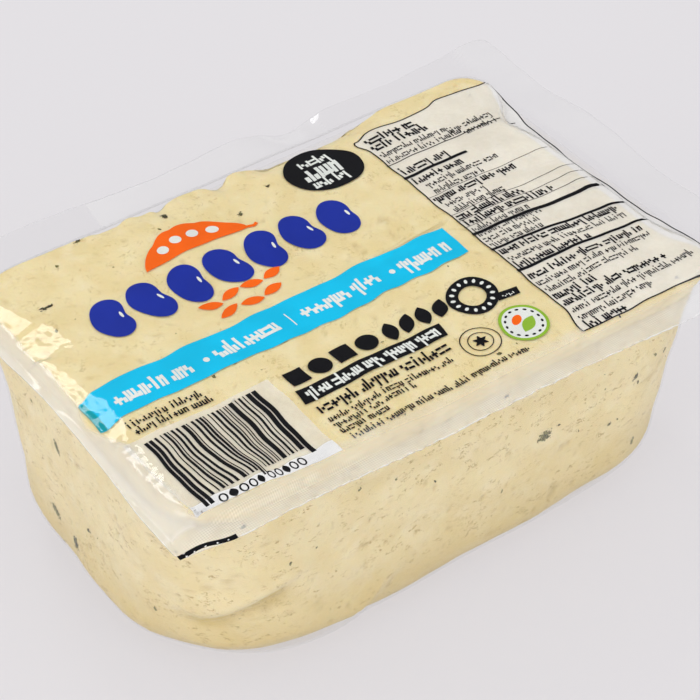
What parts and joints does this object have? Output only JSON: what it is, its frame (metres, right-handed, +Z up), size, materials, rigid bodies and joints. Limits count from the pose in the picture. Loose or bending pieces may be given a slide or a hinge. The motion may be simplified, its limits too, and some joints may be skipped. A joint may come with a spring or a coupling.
{
  "type": "vacuum-packed tofu block",
  "caption": "Block of firm herbed tofu in a clear deep-drawn vacuum pocket, closed by a printed lid film with a sealed flange all round; lies flat, lid up.",
  "frame": {"origin": "on the flat underside, below the middle of the block", "axes": "+X along the block's length, the way the print on the lid reads; +Y across it, towards the top of the print; +Z up, out of the lid"},
  "size_m": [0.1326, 0.0923, 0.0495],
  "materials": {
    "curd_in_clear_pocket": "pale cream tofu with fine pores and dark herb flecks, seen through tight clear glossy film",
    "lid_film": "thin clear glossy film printed with plain fields of colour; knurled grey-white seal band on the front edge"
  },
  "bodies": {
    "root": {"filled_pocket": "curd_in_clear_pocket", "lid_film": "lid_film"}
  },
  "joints": []
}
